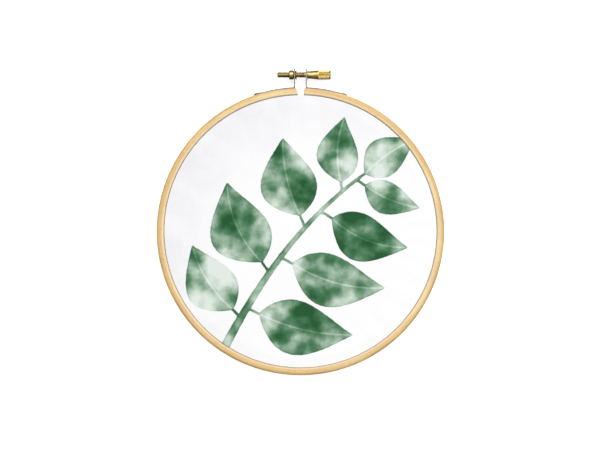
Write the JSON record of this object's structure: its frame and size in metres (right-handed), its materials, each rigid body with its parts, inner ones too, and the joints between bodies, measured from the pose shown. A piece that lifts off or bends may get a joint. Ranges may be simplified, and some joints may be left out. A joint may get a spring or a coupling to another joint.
{
  "type": "embroidery hoop with printed cloth",
  "caption": "Round wooden embroidery hoop, tightened by a brass thumbscrew between metal lugs, with a white cotton cloth stretched in it that is printed with a green leafy branch.",
  "frame": {"origin": "middle of the bounding box, on the surface that the hoop's back lies on", "axes": "+Z out of the front of the cloth, +Y from the hoop's middle towards the screw, +X along the screw towards its grip"},
  "size_m": [0.1586, 0.1694, 0.0095],
  "materials": {
    "beech": "plain sanded beech, unvarnished",
    "cotton": "white plain-weave cotton with a green watercolour print",
    "steel": "zinc-plated sheet steel",
    "brass": "turned bright brass"
  },
  "bodies": {
    "hoop": {"outer_ring": "beech", "inner_ring": "beech", "cloth": "cotton", "bracket_left": "steel", "bracket_right": "steel", "clamp_nut": "brass"},
    "thumbscrew": {"thumbscrew": "brass"}
  },
  "joints": [
    {"name": "thumbscrew_turn", "type": "hinge", "parent": "hoop", "child": "thumbscrew", "pos_m": [0, 0.0811, 0.00475], "axis": [1, 0, 0], "continuous": true}
  ]
}
